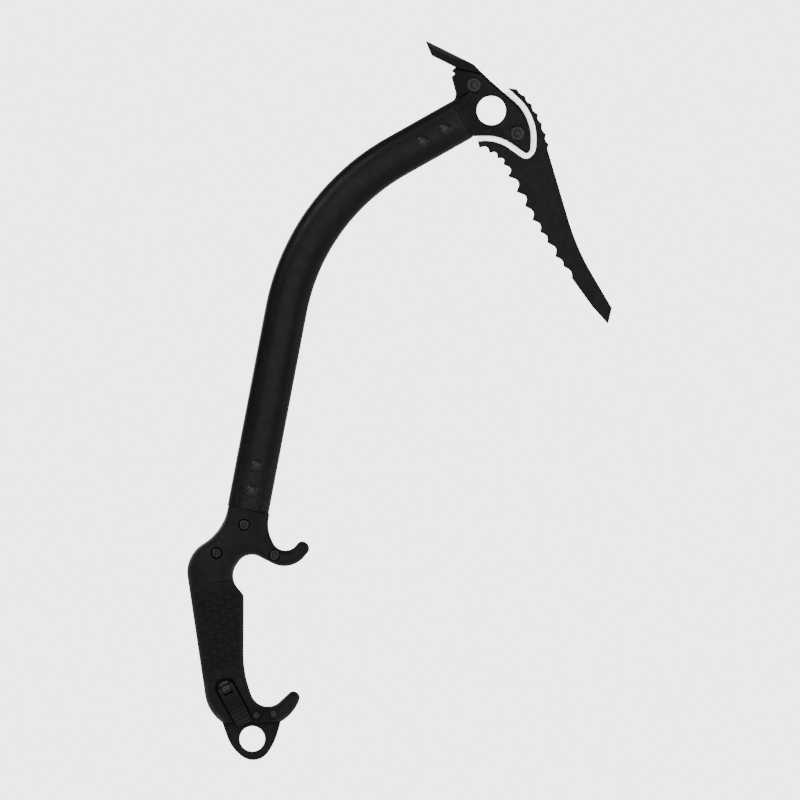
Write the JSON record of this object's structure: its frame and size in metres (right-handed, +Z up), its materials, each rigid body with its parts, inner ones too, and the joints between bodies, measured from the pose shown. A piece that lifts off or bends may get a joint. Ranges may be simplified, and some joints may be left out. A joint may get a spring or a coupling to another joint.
{
  "type": "ice axe",
  "caption": "Technical ice axe: bent oval shaft, forged head with toothed pick and small adze, offset hooked grip, sliding lower hand rest with a cam lever and an eyelet.",
  "frame": {"origin": "centre of the round eye through the head, midway between its two cheeks", "axes": "+Z up with the tool standing as it hangs from its head, +X towards the pick's side, +Y towards the tool's left side; the right side, with the lever and the screw heads, faces -Y"},
  "size_m": [0.2972, 0.0351, 0.5034],
  "materials": {
    "shaft": "black anodised, fine satin",
    "head": "forged steel, black coated, satin",
    "pick": "black coated steel blade with a bright ground seat",
    "adze": "forged steel, black coated",
    "core": "dark anodised",
    "hook_shell": "black moulded nylon, fine grain",
    "grip": "black textured rubber",
    "rest": "black moulded nylon, fine grain",
    "eyelet": "black coated steel plate",
    "fastener": "black oxide",
    "rivet": "black oxide",
    "lever": "black anodised"
  },
  "bodies": {
    "tool": {"shaft_tube": "shaft", "head_body": "head", "pick": "pick", "adze": "adze", "handle_core": "core", "pommel_left": "hook_shell", "pommel_right": "hook_shell", "grip_sleeve": "grip", "pick_bolt_front": "fastener", "pick_nut_front": "fastener", "pick_bolt_rear": "fastener", "pick_nut_rear": "fastener", "pommel_screw_top": "fastener", "pommel_screw_rear": "fastener", "pommel_screw_hook": "fastener", "head_rivet_upper": "rivet", "head_rivet_lower": "rivet", "handle_rivet_upper": "rivet", "handle_rivet_lower": "rivet"},
    "rest": {"lower_rest": "rest", "foot_eyelet": "eyelet", "eyelet_rivet_rear": "rivet", "eyelet_rivet_front": "rivet", "clamp_bolt": "fastener", "clamp_nut": "lever", "clamp_washer": "fastener", "lever_pin": "fastener"},
    "lever": {"lock_lever": "lever"}
  },
  "joints": [
    {"name": "rest_slide", "type": "slide", "parent": "tool", "child": "rest", "axis": [0.1444, 0, -0.9895], "range_m": [0, 0.01]},
    {"name": "lever_hinge", "type": "hinge", "parent": "rest", "child": "lever", "pos_m": [-0.18532, -0.0141, -0.40522], "axis": [-0.8829, 0, -0.4695], "range_deg": [0, 120]}
  ]
}
